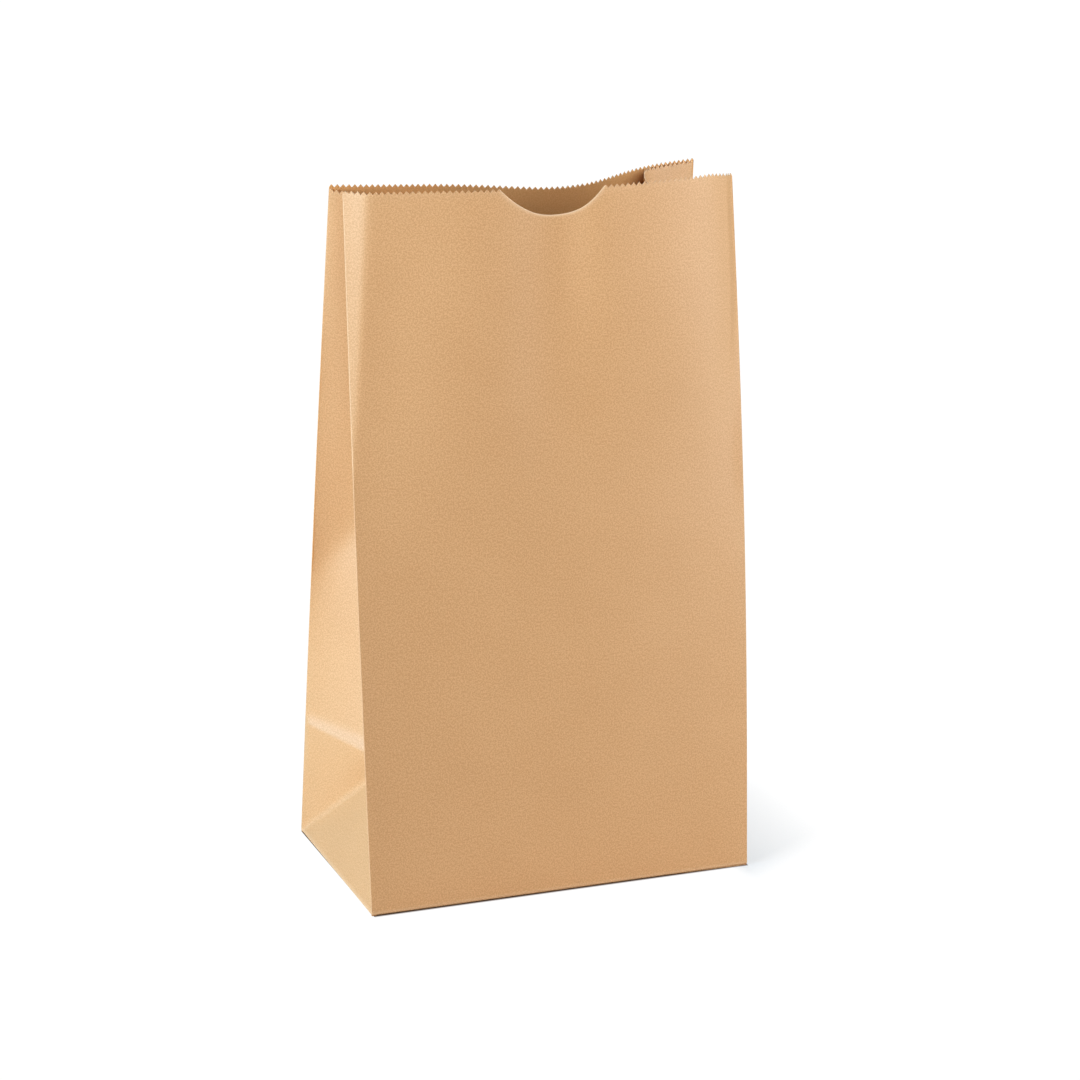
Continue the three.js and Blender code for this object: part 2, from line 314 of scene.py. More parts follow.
class Folds:
    """Folds flat points of the sheet into the standing bag."""

    def __init__(self, sizes):
        self.width = sizes.width
        self.depth = sizes.depth
        self.half = sizes.depth / 2
        self.length = sizes.length
        self.paper = sizes.paper
        self.tooth = sizes.tooth_depth
        self.notch = sizes.notch_depth
        self.bulge = sizes.front_bulge
        self.sag = sizes.back_sag
        self.dent = sizes.back_dent
        self.girth = 2 * self.width + 2 * self.depth

    def panel(self, side, p, v):
        """A point of the front (side -1) or back (side 1) panel at the share p of its width."""
        left = MOUTH[(side, 0)]
        right = MOUTH[(side, 1)]
        low_x = lerp(BASE_LEFT[side], BASE_RIGHT[side], p)
        low_y = side * self.half
        high_x = lerp(left[0], right[0], p)
        high_y = lerp(left[1], right[1], p)
        if side < 0:
            high_y = high_y - self.bulge * hump(p, FRONT_BULGE_AT)
        else:
            high_y = high_y - self.sag * hump(p, BACK_SAG_AT)
            high_y = high_y - self.dent * hump(p, BACK_DENT_AT) ** 4
        lean = np.hypot(high_x - low_x, high_y - low_y)
        rise = np.sqrt(self.length**2 - lean**2)
        t = v / self.length
        bow = lerp(-BOW_LEFT, BOW_RIGHT, p) * np.sin(math.pi * t)
        return np.stack([lerp(low_x, high_x, t) + bow, lerp(low_y, high_y, t), rise * t], -1)

    def centre(self, hand, v):
        """The centre fold of the left (hand -1) or right (hand 1) gusset."""
        p = np.full_like(v, 0.0 if hand < 0 else 1.0)
        front = self.panel(-1, p, v)
        back = self.panel(1, p, v)
        gap = np.linalg.norm(front - back, axis=-1)
        share = (v - self.half) / (self.length - self.half)
        drop = lerp(CREASE_DROP, MOUTH_DROP[hand], share)
        inward = np.sqrt(np.maximum(self.half**2 - (gap / 2) ** 2 - drop**2, 0.0))
        mid = (front + back) / 2
        mid[..., 0] -= hand * inward
        mid[..., 2] -= drop
        return mid

    def gusset(self, hand, s, v):
        """A point of a gusset, s across the paper from its front corner fold."""
        half = self.half
        p = np.full_like(v, 0.0 if hand < 0 else 1.0)
        zero = np.zeros_like(v)
        crease = np.full_like(v, half)
        apex = self.centre(hand, crease)
        ends = []
        for side in (-1, 1):
            across = s if side < 0 else self.depth - s
            a = (across / half)[..., None]
            b = ((v - across) / half)[..., None]
            c = (1 - v / half)[..., None]
            ends.append(a * apex + b * self.panel(side, p, crease) + c * self.panel(side, p, zero))
        far = ((s - v) / self.depth)[..., None]
        up = (v / half)[..., None]
        base = (
            up * apex
            + far * self.panel(1, p, zero)
            + (1 - up - far) * self.panel(-1, p, zero)
        )
        low = np.where((s <= v)[..., None], ends[0], base)
        low = np.where((self.depth - s <= v)[..., None], ends[1], low)
        upper_v = np.maximum(v, half)
        fold = self.centre(hand, upper_v)
        front = lerp(self.panel(-1, p, upper_v), fold, np.clip(s / half, 0, 1)[..., None])
        back = lerp(fold, self.panel(1, p, upper_v), np.clip((s - half) / half, 0, 1)[..., None])
        high = np.where((s <= half)[..., None], front, back)
        if hand > 0:
            share = blend(0.120, 0.255, v)
            high = lerp(high, self.recess(s, v, share), share[..., None])
        return np.where((v < half)[..., None], low, high)

    def recess(self, s, v, share):
        """The right gusset at the mouth: along both panels, and straight across between them."""
        front_run = RECESS_FRONT * share
        back_run = RECESS_BACK * share

        def path(at):
            a = np.clip(at, 0, front_run)
            b = np.clip(self.depth - at, 0, back_run)
            front = self.panel(-1, 1 - a / self.width, v)
            back = self.panel(1, 1 - b / self.width, v)
            front[..., 1] += RECESS_GAP * blend(0, 0.003, a)
            back[..., 1] -= RECESS_GAP * blend(0, 0.003, b)
            across = np.clip((at - front_run) / (self.depth - front_run - back_run), 0, 1)
            out = lerp(front, back, across[..., None])
            past = blend(0.003, 0.013, self.depth - back_run - at) * blend(0, 0.010, at - front_run)
            out[..., 2] -= RECESS_DROP * share * past
            return out

        reach = np.minimum(0.008, np.minimum(s, self.depth - s))
        around = [path(s + k * reach) * w for k, w in ((-1, 1), (-0.5, 2), (0, 3), (0.5, 2), (1, 1))]
        return sum(around) / 9

    def sheet(self, u, v):
        """A point of the folded sheet."""
        u = np.mod(u, self.girth)
        w, d = self.width, self.depth
        out = self.panel(-1, np.clip(u / w, 0, 1), v)
        right = self.gusset(1, np.clip(u - w, 0, d), v)
        back = self.panel(1, np.clip(1 - (u - w - d) / w, 0, 1), v)
        left = self.gusset(-1, np.clip(self.girth - u, 0, d), v)
        out = np.where((u > w)[..., None], right, out)
        out = np.where((u > w + d)[..., None], back, out)
        return np.where((u > 2 * w + d)[..., None], left, out)

    def outward(self, u, v):
        """The level direction out of the sheet."""
        reach = 0.4 * MM
        along = self.sheet(u + reach, v) - self.sheet(u - reach, v)
        out = np.stack([along[..., 1], -along[..., 0], np.zeros_like(v)], -1)
        return out / np.maximum(np.linalg.norm(out, axis=-1, keepdims=True), 1e-12)

    def pitch_columns(self):
        """Where the half teeth stand round the bag."""
        spans = [
            (self.width, TEETH_PANEL),
            (self.half, TEETH_HALF_GUSSET),
            (self.half, TEETH_HALF_GUSSET),
            (self.width, TEETH_PANEL),
            (self.half, TEETH_HALF_GUSSET),
            (self.half, TEETH_HALF_GUSSET),
        ]
        columns = []
        start = 0.0
        for span, teeth in spans:
            columns.extend(start + span * np.arange(2 * teeth) / (2 * teeth))
            start += span
        return np.array(columns)

    def cut_height(self, u):
        """Height of the cut top edge: teeth all round, and the notch in the front panel."""
        columns = np.append(self.pitch_columns(), self.girth)
        index = np.arange(len(columns))
        zigzag = np.where(index % 2 == 1, self.length, self.length - self.tooth)
        back_from = 2 * TEETH_PANEL + 4 * TEETH_HALF_GUSSET
        back_to = back_from + 2 * TEETH_PANEL
        last = len(columns) - 1
        right = (index > 2 * TEETH_PANEL) & (index < back_from)
        left = (index > back_to) & (index < last)
        zigzag = zigzag - np.where(right, GUSSET_SET_DOWN[1], 0) - np.where(left, GUSSET_SET_DOWN[-1], 0)
        u = np.mod(u, self.girth)
        pitch = self.width / TEETH_PANEL
        middle = (NOTCH_FIRST_TOOTH + NOTCH_TEETH / 2) * pitch
        x = (u - middle) / (NOTCH_TEETH / 2 * pitch)
        start, end = middle - NOTCH_TEETH / 2 * pitch, middle + NOTCH_TEETH / 2 * pitch
        # Places round the bag, and how many millimetres the cut edge is lifted there
        lifts = [
            (0, 1.15),
            (start, 0.5),
            (end, 0.7),
            (0.116, 1.3),
            (0.137, 2.0),
            (0.145, 1.2),
            (self.width, 0.5),
            (self.width + 0.010, 0.0),
            (self.girth - self.half, 0.0),
            (self.girth, 1.15),
        ]
        places, heights = np.array(lifts).T
        lift = np.interp(u, places, heights * MM)
        height = np.interp(u, columns, zigzag) + lift
        arch = np.clip(1 - np.abs(x) ** np.where(x > 0, 2.4, 2.0), 0, 1)
        arch = arch**2 / (arch + 0.04 * blend(0.5, 0.95, x) + 1e-9)
        dip = self.length + lift - (self.notch + lift) * arch
        return np.where(np.abs(x) < 1, dip, height)

    def in_notch(self, u):
        """Where the columns stand in the thumb notch."""
        pitch = self.width / TEETH_PANEL
        x = np.mod(u, self.girth) / pitch - NOTCH_FIRST_TOOTH
        return (x > 0) & (x < NOTCH_TEETH)

    def cut_tone_and_painted_light(self, u, v, creases):
        """How much paler (above 0) or darker (below 0) the paper is drawn near its cuts and folds: the fresh
        cut is a little paler; painted shade darkens the back panel's toothed edge and the front edge between
        its teeth right of the notch; painted highlights run along the two front corner folds; a paler band
        runs just above the base fold.
        """
        near_cut = np.clip(1 - (self.cut_height(u) - v) / (0.8 * MM), 0, 1)
        around = np.mod(u, self.girth)
        on_back = (around > self.width + self.depth) & (around < 2 * self.width + self.depth)
        # Painted shade along the toothed top edge of the back panel; elsewhere the fresh cut is a little
        # paler.
        strength = np.where(on_back, -0.6, 0.15)
        half_pitch = self.width / TEETH_PANEL / 2
        between = np.rint(around / half_pitch) % 2 == 0
        # Painted shade between the teeth of the front edge, right of the notch.
        strength = np.where(between & (around > PAINTED_TEETH_SHADE_FROM) & (around < self.width), -0.8, strength)
        strength = np.where(self.in_notch(u), 1.0, strength)
        tone = near_cut * strength
        # Painted highlight along the two front corner folds.
        corners = creases[[0, 1]]
        gap = np.abs(np.mod(u[:, None] - corners[None, :] + self.girth / 2, self.girth) - self.girth / 2)
        tone = np.maximum(tone, 0.4 * np.clip(1 - gap.min(axis=1) / (0.55 * MM), 0, 1))
        # Paler band just above the base fold.
        return np.where(v < 1.2 * MM, np.maximum(tone, 0.3 * np.clip(v / (0.6 * MM), 0, 1)), tone)


# Small shapes that a sheet of paper takes up in use


def rise(x, at, over, height):
    """A soft step of the given height, centred at a place and spread over a length."""
    return 0.5 * height * (1 + np.tanh((x - at) / over))


def front_panel_ease(folds, u, v):
    """How far the front panel stands forward of its plain form.

    Near the mouth a strip along the left edge is bent back and soft waves run down the panel; low on
    the left the panel is a little hollow.
    """
    s = np.mod(u, folds.girth)
    on_front = (s >= 0) & (s <= folds.width)
    reach = 9.1 * MM * np.clip((v - 0.158) / (folds.length - 0.158), 0, 1) + 1e-6
    x = np.clip(s / reach, 0, 20)
    turn = 0.56 * reach * x / (1 + x**10) ** 0.1
    fade = 1 - blend(0.020, 0.085, s)
    down = folds.length - v
    waves = np.zeros_like(s)
    for at, drift, spread, growth, height, low, high in FRONT_WAVES:
        step = rise(s, at + drift * down, spread + growth * down, height * MM)
        waves += step * blend(low, high, v)
    hollow = -0.8 * MM * (1 - np.exp(-s / 0.014)) * (1 - blend(0.030, 0.110, s))
    hollow = hollow * (1 - blend(0.100, 0.160, v)) * blend(0.0, 0.040, v)
    ends = blend(0.0, 0.006, s) * blend(0.0, 0.006, folds.width - s)
    return np.where(on_front, turn * fade + waves * ends + hollow * ends, 0.0)


def left_gusset_ease(folds, u, v):
    """How far the back half of the left gusset stands out: a soft dent and a lip at its crease."""
    from_back = np.mod(u, folds.girth) - (2 * folds.width + folds.depth)
    on_half = (from_back >= 0) & (from_back <= folds.half)
    s = np.clip(from_back, 0, folds.half)
    clear = 1 - blend(0.032, 0.046, s)
    above = v - (0.1175 + 0.9 * s)
    soft = np.sqrt(above**2 + 0.0025**2) - 0.0025
    reach = np.where(above < 0, 0.017, 0.036)
    dent = -4.6 * MM * (1 - np.exp(-s / 0.009)) * np.exp(-soft / reach)
    dent = dent * blend(folds.half, folds.half + 0.020, v)
    crease = folds.half + 1.35 * MM
    lip = np.where(v >= crease, np.clip(1 - (v - crease) / 0.0046, 0, 1) ** 1.4, 0.0)
    low = np.clip(1 - (crease - v) / 0.026, 0, 1) * (v < crease)
    reached = np.where(v < folds.half, blend(0.0, 0.012, v - s), 1.0)
    ridge = 1.3 * MM * (lip + low * reached) * blend(0.0, 0.003, s)
    valley = -1.4 * MM * np.exp(-np.abs(v - s) / 0.012) * (1 - np.exp(-v / 0.012))
    valley = valley * blend(0.0, 0.004, s) * (1 - blend(0.034, folds.half, v))
    turn = 2.2 * MM * (1 - np.exp(-s / 0.007)) * (1 - blend(0.010, 0.034, s)) * blend(0.185, 0.245, v)
    return np.where(on_half, (dent + ridge + valley) * clear + turn, 0.0)


def ripple(u, v):
    """Slow unevenness of the paper, the same each time."""
    out = np.zeros_like(u)
    waves = [(52, 31, 0.4, 0.16), (-37, 44, 2.1, 0.13), (83, -22, 4.0, 0.08), (21, 63, 5.2, 0.12)]
    for across, up, phase, height in waves:
        out += height * MM * np.sin(across * u + up * v + phase)
    return out


# Making the piece


def only(obj):
    """Selects one object and makes it active."""
    bpy.ops.object.select_all(action="DESELECT")
    obj.select_set(True)
    bpy.context.view_layer.objects.active = obj


def flat_grid(name, columns, rows):
    """A flat grid with the given numbers of columns and rows of points, and their order."""
    bpy.ops.object.select_all(action="DESELECT")
    bpy.ops.mesh.primitive_grid_add(
        x_subdivisions=columns - 1, y_subdivisions=rows - 1, size=1.0, location=(0, 0, 0)
    )
    obj = bpy.context.active_object
    obj.name = name
    mesh = obj.data
    mesh.name = name
    points = np.zeros(3 * len(mesh.vertices))
    mesh.vertices.foreach_get("co", points)
    points = points.reshape(-1, 3)
    if len(points) != columns * rows:
        raise RuntimeError("the flat sheet has the wrong number of points")
    column = np.rint((points[:, 0] + 0.5) * (columns - 1)).astype(int)
    row = np.rint((points[:, 1] + 0.5) * (rows - 1)).astype(int)
    return obj, column, row


def place(obj, points, flat, tone):
    """Moves a grid's points, and keeps their flat places and the tone of cuts and folds, which carries
    painted shade and painted highlights.
    """
    mesh = obj.data
    mesh.vertices.foreach_set("co", np.ascontiguousarray(points, dtype=np.float32).ravel())
    loops = np.zeros(len(mesh.loops), dtype=np.int32)
    mesh.loops.foreach_get("vertex_index", loops)
    layer = mesh.uv_layers.active or mesh.uv_layers.new(name="sheet")
    layer.name = "sheet"
    layer.data.foreach_set("uv", np.ascontiguousarray(flat[loops], dtype=np.float32).ravel())
    cut_and_painted_light = mesh.attributes.new("cut_tone_and_painted_light", "FLOAT", "POINT")
    cut_and_painted_light.data.foreach_set("value", np.ascontiguousarray(tone, dtype=np.float32))
    mesh.update()


def wall_columns(folds, lap):
    """Columns of the blank, from the inner end of the seam round to the outer end."""
    teeth = folds.pitch_columns()
    end = teeth[2 * SEAM_TOOTH]
    start = end - lap
    creases = np.cumsum([0, folds.width, folds.half, folds.half, folds.width, folds.half])
    near = np.array([-0.55, -0.4, 0.0, 0.4, 0.55]) * MM
    own = (creases[:, None] + near[None, :]).ravel()
    pitch = folds.width / TEETH_PANEL
    notch = NOTCH_FIRST_TOOTH * pitch + np.arange(1, 4 * NOTCH_TEETH, 2) * pitch / 4
    every = np.concatenate([teeth, own, notch])
    every = np.mod(every - start, folds.girth) + start
    every = np.concatenate([every, every[every < end + 1e-9] + folds.girth, [start, end + folds.girth]])
    every = np.unique(np.round(every, 7))
    keep = [every[0]]
    for u in every[1:]:
        if u - keep[-1] > 0.05 * MM:
            keep.append(u)
    return np.array(keep), start, end, creases


def wall_rows(folds):
    """Heights of the blank's rows below the band of teeth, and shares of the band above."""
    low = np.linspace(0, folds.half, TEETH_HALF_GUSSET + 1)
    low = np.insert(low, 1, BASE_ROUND * np.array([0.12, 0.35, 0.65, 1.0]))
    band = folds.length - TOP_BAND
    lips = folds.half + np.array([1.35, 2.3, 3.2, 4.2, 5.9]) * MM
    steps = int(round((band - folds.half) / ROW_SPACING))
    high = np.linspace(folds.half + 8 * MM, band, steps)
    return np.concatenate([low, lips, high]), band


def make_wall(folds, lap):
    """The four sides of the bag: the blank cut to its top edge and folded."""
    columns, start, end, creases = wall_columns(folds, lap)
    rows, band = wall_rows(folds)
    shares = np.array([0.3, 0.6, 0.85])
    count = len(rows) + len(shares) + 2
    obj, column, row = flat_grid(BAG, len(columns), count)
    u_line = columns
    cut = folds.cut_height(u_line)
    grid = np.zeros((count, len(columns)))
    grid[: len(rows)] = rows[:, None]
    top = cut - 0.45 * MM
    for i, share in enumerate(shares):
        grid[len(rows) + i] = lerp(band, top, share)
    grid[-2] = top
    grid[-1] = cut
    u = u_line[column]
    v = grid[row, column]

    points = folds.sheet(u, v)
    offset = front_panel_ease(folds, u, v) + left_gusset_ease(folds, u, v)
    wave_room = blend(0.0, 0.030, v) * (1 - 0.6 * blend(0.200, 0.266, v))
    gap = np.abs(np.mod(u[:, None] - creases[None, :] + folds.girth / 2, folds.girth) - folds.girth / 2)
    clear = blend(0.0, 0.012, gap.min(axis=1))
    # Both ends of the sheet have the same unevenness where they lie together in the seam.
    shared = 1 - blend(end + 0.002, end + 0.045, u)
    uneven = lerp(ripple(u, v), ripple(u + folds.girth, v), shared)
    offset = offset + uneven * wave_room * clear
    over = blend(start + folds.girth - 0.003, start + folds.girth, u)
    offset = offset + over * 1.2 * folds.paper
    below = np.clip(BASE_ROUND - v, 0, BASE_ROUND)
    offset = offset - (BASE_ROUND - np.sqrt(BASE_ROUND**2 - below**2))
    points = points + folds.outward(u, v) * offset[:, None]

    # Each fold is rounded by drawing its own column towards its neighbours.
    by_place = np.zeros((count, len(columns), 3))
    by_place[row, column] = points
    soft = by_place.copy()
    for crease in creases:
        for turn in (0, folds.girth):
            k = int(np.argmin(np.abs(columns - (crease + turn))))
            if abs(columns[k] - (crease + turn)) < 1e-6 and 0 < k < len(columns) - 1:
                soft[:, k] = 0.5 * by_place[:, k] + 0.25 * (by_place[:, k - 1] + by_place[:, k + 1])
    points = soft[row, column]

    flat = np.stack([u - start + SHEET_MARGIN, v + SHEET_BASE], -1)
    tone = folds.cut_tone_and_painted_light(u, v, creases)
    # Painted shadow line along the outer end of the seam.
    tone = np.where(u > end + folds.girth - SEAM_SHADOW_WIDTH, np.minimum(tone, SEAM_PAINTED_SHADOW), tone)
    place(obj, points, flat, tone)
    base = soft[0]
    return obj, columns, base


def make_flap(folds, name, ids, columns, base, reach, level, trapezium):
    """One flap of the base, from a run of the wall's lowest row inwards."""
    depths = np.concatenate([[0.0, 0.5 * MM, 1.5 * MM], np.linspace(4 * MM, reach, 14)])
    obj, column, row = flat_grid(name, len(ids), len(depths))
    edge = base[ids]
    mid = edge.mean(axis=0)
    inward = np.array([-mid[0], -mid[1], 0.0])
    inward /= np.linalg.norm(inward)
    along = np.array([-inward[1], inward[0], 0.0])
    spread = (edge - mid) @ along
    half = np.abs(spread).max()
    w = depths[row]
    narrow = (half - w) / half if trapezium else np.ones_like(w)
    points = mid + np.outer(w, inward) + np.outer(spread[column] * narrow, along)
    points[row == 0] = edge[column[row == 0]]
    points[:, 2] = level * np.clip(w / (1.5 * MM), 0, 1)
    across = columns[ids][column] - columns[0]
    flat = np.stack([across + SHEET_MARGIN, SHEET_BASE - w], -1)
    place(obj, points, flat, np.zeros_like(w))
    return obj


def fold_bag(sizes):
    """The whole bag as one folded sheet."""
    folds = Folds(sizes)
    wall, columns, base = make_wall(folds, sizes.seam_lap)
    creases = np.array(
        [
            0.0,
            folds.width,
            folds.width + folds.depth,
            2 * folds.width + folds.depth,
            folds.girth,
        ]
    )
    reach = folds.half + sizes.flap_lap / 2
    layer = 1.08 * folds.paper
    span = {
        "front_flap": (creases[4], creases[4] + creases[1], 1, True),
        "right_flap": (creases[4] + creases[1], creases[4] + creases[2], 2, False),
        "left_flap": (creases[3], creases[4], 2, False),
    }
    pieces = [wall]
    for name, (low, high, layers, trapezium) in span.items():
        ids = np.where((columns >= low - 1e-6) & (columns <= high + 1e-6))[0]
        if len(ids) < 2:
            ids = np.where((columns >= low - folds.girth - 1e-6) & (columns <= high - folds.girth + 1e-6))[0]
        pieces.append(
            make_flap(folds, name, ids, columns, base, reach, layers * layer, trapezium)
        )
    # The back flap spans both ends of the sheet, joined at the seam.
    low, high = creases[2], creases[3]
    first = np.where((columns >= low + folds.girth - 1e-6) & (columns <= columns[-1]))[0]
    second = np.where((columns >= columns[-1] - folds.girth + 1e-6) & (columns <= high + 1e-6))[0]
    ids = np.concatenate([first, second])
    pieces.append(make_flap(folds, "back_flap", ids, columns, base, reach, 0.0, True))

    bpy.ops.object.select_all(action="DESELECT")
    for piece in pieces:
        piece.select_set(True)
    bpy.context.view_layer.objects.active = wall
    bpy.ops.object.join()
    bpy.ops.object.mode_set(mode="EDIT")
    bpy.ops.mesh.select_all(action="SELECT")
    bpy.ops.mesh.remove_doubles(threshold=0.02 * MM)
    bpy.ops.object.mode_set(mode="OBJECT")
    return wall


def thicken(bag, paper):
    """Gives the sheet the thickness of paper, inwards, with a pale cut edge."""
    only(bag)
    outer = len(bag.data.vertices)
    wall = bag.modifiers.new("paper", "SOLIDIFY")
    wall.thickness = paper
    wall.offset = -1.0
    wall.use_even_offset = False
    wall.use_rim = True
    wall.material_offset_rim = 1
    bpy.ops.object.modifier_apply(modifier=wall.name)
    inside = np.zeros(len(bag.data.vertices), dtype=np.float32)
    inside[outer:] = 1.0
    bag.data.attributes.new("inside", "FLOAT", "POINT").data.foreach_set("value", inside)
    bpy.ops.object.shade_smooth()
    even = bag.modifiers.new("even_shading", "WEIGHTED_NORMAL")
    even.mode = "FACE_AREA"
    bpy.ops.object.modifier_apply(modifier=even.name)


# Materials


def new_material(name):
    material = bpy.data.materials.new(name)
    material.use_nodes = True
    nodes = material.node_tree.nodes
    return material, nodes, material.node_tree.links, nodes["Principled BSDF"]


def kraft_paper(look):
    """Matt kraft paper: fine fibres, slow clouding, a few dark specks and paler cut edges, with painted
    shade and painted highlights near the cuts and folds and painted shade on the inner face.
    """
    material, nodes, links, surface = new_material("kraft_paper")
    surface.inputs["Roughness"].default_value = 0.46
    sheet = nodes.new("ShaderNodeUVMap")
    sheet.uv_map = "sheet"

    def mapped(scale):
        node = nodes.new("ShaderNodeMapping")
        node.inputs["Scale"].default_value = scale
        links.new(sheet.outputs["UV"], node.inputs["Vector"])
        return node.outputs["Vector"]

    def noise(scale, detail, roughness, vector):
        node = nodes.new("ShaderNodeTexNoise")
        node.inputs["Scale"].default_value = scale
        node.inputs["Detail"].default_value = detail
        node.inputs["Roughness"].default_value = roughness
        links.new(vector, node.inputs["Vector"])
        return node.outputs["Fac"]

    def ranged(value, low, high, start, end):
        node = nodes.new("ShaderNodeMapRange")
        node.inputs["From Min"].default_value = low
        node.inputs["From Max"].default_value = high
        node.inputs["To Min"].default_value = start
        node.inputs["To Max"].default_value = end
        links.new(value, node.inputs["Value"])
        return node.outputs["Result"]

    def mixed(factor, first, second):
        node = nodes.new("ShaderNodeMix")
        node.data_type = "RGBA"
        links.new(factor, node.inputs["Factor"])
        for socket, value in (("A", first), ("B", second)):
            target = next(i for i in node.inputs if i.name == socket and i.type == "RGBA")
            if isinstance(value, tuple):
                target.default_value = value
            else:
                links.new(value, target)
        return next(o for o in node.outputs if o.type == "RGBA")

    def total(first, second, operation):
        node = nodes.new("ShaderNodeMath")
        node.operation = operation
        links.new(first, node.inputs[0])
        links.new(second, node.inputs[1])
        return node.outputs["Value"]

    fibre = noise(1700.0, 3.0, 0.6, mapped((1.0, 0.8, 1.0)))
    grain = noise(2400.0, 2.0, 0.5, mapped((1.0, 1.0, 1.0)))
    cloud = noise(38.0, 2.0, 0.5, mapped((1.0, 1.0, 1.0)))
    pale = ranged(total(fibre, grain, "ADD"), 0.75, 1.25, -1.1, 1.72)
    tint = ranged(cloud, 0.3, 0.7, 0.0, 0.22)
    face = mixed(total(pale, tint, "ADD"), (*look.paper, 1.0), (*look.fibre, 1.0))

    spots = nodes.new("ShaderNodeTexVoronoi")
    spots.feature = "F1"
    spots.inputs["Scale"].default_value = 62.0
    links.new(mapped((1.0, 0.8, 1.0)), spots.inputs["Vector"])
    chosen = nodes.new("ShaderNodeSeparateColor")
    links.new(spots.outputs["Color"], chosen.inputs["Color"])
    near = ranged(spots.outputs["Distance"], 0.012, 0.022, 1.0, 0.0)
    rare = ranged(chosen.outputs["Red"], 0.90, 0.94, 0.0, 0.55)
    face = mixed(total(near, rare, "MULTIPLY"), face, (*look.speck, 1.0))

    # Tone near cuts and folds: above 0 it draws the paper towards the cut colour, for paler cuts and painted
    # highlights; below 0 towards the speck colour, for painted shade.
    cut_and_painted_light = nodes.new("ShaderNodeAttribute")
    cut_and_painted_light.attribute_name = "cut_tone_and_painted_light"
    face = mixed(ranged(cut_and_painted_light.outputs["Fac"], 0.0, 1.0, 0.0, 0.9), face, (*look.cut, 1.0))
    face = mixed(ranged(cut_and_painted_light.outputs["Fac"], -1.0, 0.0, 0.8, 0.0), face, (*look.speck, 1.0))

    # The outer face is glazed a little and the inner face is rough; the inner face is also drawn towards a
    # browner colour, painted shade for the inside of the bag.
    inner = nodes.new("ShaderNodeAttribute")
    inner.attribute_name = "inside"
    face = mixed(ranged(inner.outputs["Fac"], 0.0, 1.0, 0.0, 0.48), face, (*look.inner, 1.0))
    links.new(face, surface.inputs["Base Color"])
    links.new(ranged(inner.outputs["Fac"], 0.0, 1.0, 0.48, 0.0), surface.inputs["Specular IOR Level"])

    bump = nodes.new("ShaderNodeBump")
    bump.inputs["Strength"].default_value = 0.35
    bump.inputs["Distance"].default_value = 0.00006
    links.new(total(fibre, grain, "ADD"), bump.inputs["Height"])
    links.new(bump.outputs["Normal"], surface.inputs["Normal"])
    return material


def cut_edge(look):
    """The fresh cut through the paper."""
    material, _, _, surface = new_material("cut_edge")
    surface.inputs["Base Color"].default_value = (*look.cut, 1.0)
    surface.inputs["Roughness"].default_value = 0.85
    return material


# Where the floor keeps the shadow: the place where it ends, and the place where it is full
SHADE_RIGHT_INNER = (0.068, 0.074)
SHADE_RIGHT_OUTER = (0.125, 0.080)
SHADE_RIGHT_REAR = (0.120, 0.030)
SHADE_SLANT = (-0.062, -0.044)
SLANT_FROM = 0.079
SLANT_RISE = 0.60
SHADE_BEHIND_LEFT = (-0.060, -0.030)
SHADE_BEHIND_RIGHT = (0.110, 0.080)
SHADE_BEHIND_NEAR = (0.040, 0.047)
SHADE_BEHIND_FAR = (0.130, 0.047)
SHADE_SHARE = 0.53  # how much of the shadow is kept there
FLOOR_GLOW = 1.04

# Painted contact shadow: the dark line along the foot of the bag
FOOT_HALF_WIDTH = 0.0755
FOOT_HALF_DEPTH = 0.0466
FOOT_LINE = (0.0016, 0.0004)
FOOT_LINE_NARROWING = 12.0  # makes the line thinner at the two sides
FOOT_SHADOW_COLOUR = (0.16, 0.10, 0.07)


